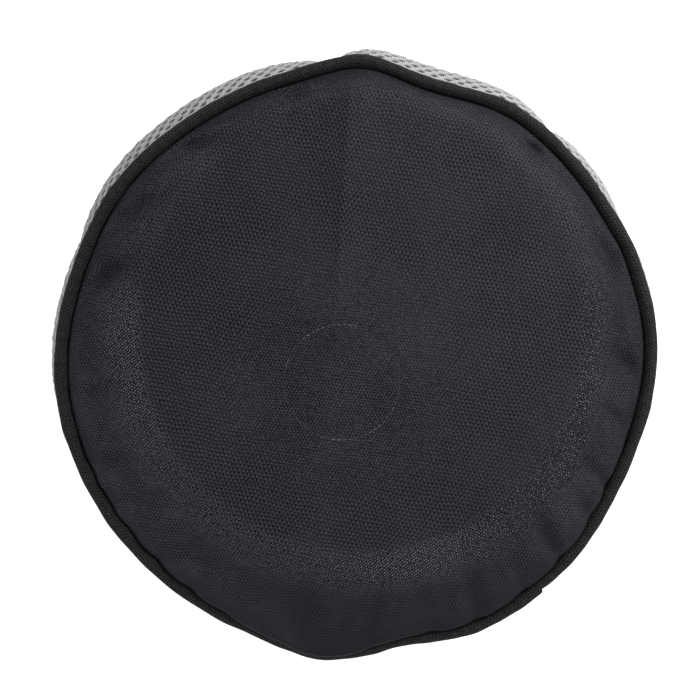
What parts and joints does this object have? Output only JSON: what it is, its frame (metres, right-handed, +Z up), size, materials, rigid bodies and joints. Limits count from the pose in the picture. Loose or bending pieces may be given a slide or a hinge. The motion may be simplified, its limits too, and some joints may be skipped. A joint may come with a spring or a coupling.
{
  "type": "kufi",
  "caption": "Round brimless pillbox cap with a flat black mesh crown, black piping round the crown seam and an upright wall of pale grey spacer mesh.",
  "frame": {"origin": "on the surface that the rim rests on, under the middle of the hat's box", "axes": "+Z up through the crown, +Y towards the seam at the back of the band, +X to the wearer's left"},
  "size_m": [0.1893, 0.1915, 0.0831],
  "materials": {
    "black_mesh": "fine dotted mesh cloth in two layers, slight glints",
    "black_piping": "matt knitted mesh over a cord",
    "grey_spacer_mesh": "soft matt spacer mesh with staggered oval holes"
  },
  "bodies": {
    "root": {"crown": "black_mesh", "crown_piping": "black_piping", "side_band": "grey_spacer_mesh"}
  },
  "joints": []
}
